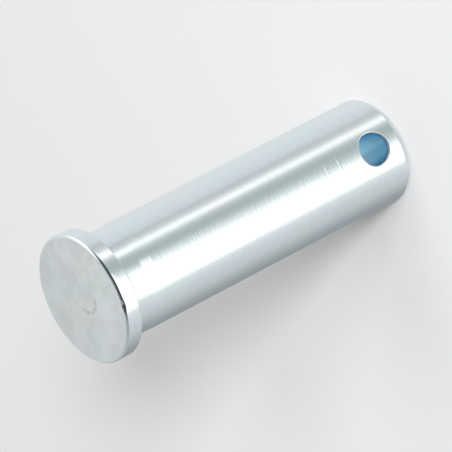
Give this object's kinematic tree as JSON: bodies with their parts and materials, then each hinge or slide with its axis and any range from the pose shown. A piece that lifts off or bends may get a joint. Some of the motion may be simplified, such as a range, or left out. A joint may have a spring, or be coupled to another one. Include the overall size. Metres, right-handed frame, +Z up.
{
  "type": "clevis pin",
  "caption": "Turned steel clevis pin with a flat cylindrical head and a cross hole near the tip for a split pin.",
  "frame": {"origin": "middle of the tip's flat end face, which the pin stands on", "axes": "+Z up the centre line from the tip to the head, +Y along the split-pin hole"},
  "size_m": [0.022, 0.022, 0.062],
  "materials": {
    "zinc_plated_steel": "bright zinc plate over turned steel, fine turning marks round the shank, satin end faces"
  },
  "bodies": {
    "root": {"clevis_pin": "zinc_plated_steel"}
  },
  "joints": []
}
